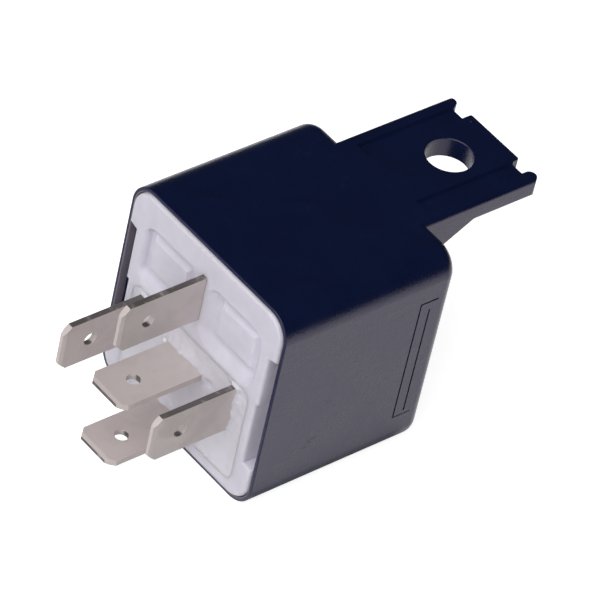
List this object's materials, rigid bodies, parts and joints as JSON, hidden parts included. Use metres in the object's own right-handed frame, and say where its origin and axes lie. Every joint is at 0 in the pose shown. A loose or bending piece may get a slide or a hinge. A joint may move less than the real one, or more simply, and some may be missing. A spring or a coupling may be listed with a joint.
{
  "type": "automotive relay",
  "caption": "Plug-in changeover relay for vehicles: moulded cover with a bracket tab, blade terminals in a sealed base, coil, hinged armature and contacts inside.",
  "frame": {"origin": "centre of the terminal face of the base, where the relay seats on its socket", "axes": "+Y from the terminal face into the housing and on along the bracket tab, +Z towards the bracket side, X across the two coil terminals; the relay lies on its -Z side"},
  "size_m": [0.028, 0.054, 0.029],
  "materials": {
    "cover_plastic": "moulded black thermoplastic, fine texture",
    "base_plastic": "moulded light grey thermoplastic",
    "resin": "cast sealing resin, glossy",
    "vent": "glossy white plug",
    "tinned": "tin-plated brass sheet, rolled and stamped",
    "iron": "zinc-plated soft iron",
    "bobbin_plastic": "natural moulded nylon",
    "copper_wire": "enamelled copper wire",
    "solder": "bright solder",
    "spring_bronze": "rolled bronze strip",
    "contact_silver": "silver alloy, satin",
    "rivet_steel": "plated steel"
  },
  "bodies": {
    "housing": {"cover": "cover_plastic", "base": "base_plastic", "sealing_resin": "resin", "vent_plug": "vent", "terminal_30": "tinned", "terminal_85": "tinned", "terminal_86": "tinned", "terminal_87": "tinned", "terminal_87a": "tinned", "yoke": "iron", "core": "iron", "bobbin": "bobbin_plastic", "winding": "copper_wire", "coil_lead_85": "copper_wire", "coil_lead_86": "copper_wire", "solder_joints": "solder", "make_contact": "contact_silver", "break_contact": "contact_silver", "yoke_rivets": "rivet_steel", "terminal_rivet": "rivet_steel"},
    "armature": {"armature": "iron", "contact_spring": "spring_bronze", "moving_contact": "contact_silver", "armature_rivets": "rivet_steel"}
  },
  "joints": [
    {"name": "armature_hinge", "type": "hinge", "parent": "housing", "child": "armature", "pos_m": [0, 0.01861, 0.012], "axis": [-1, 0, 0], "range_deg": [0, 2.2], "stiffness_Nm_per_rad": 0.15, "springref_deg": -2.29, "deforming": ["contact_spring"]}
  ]
}
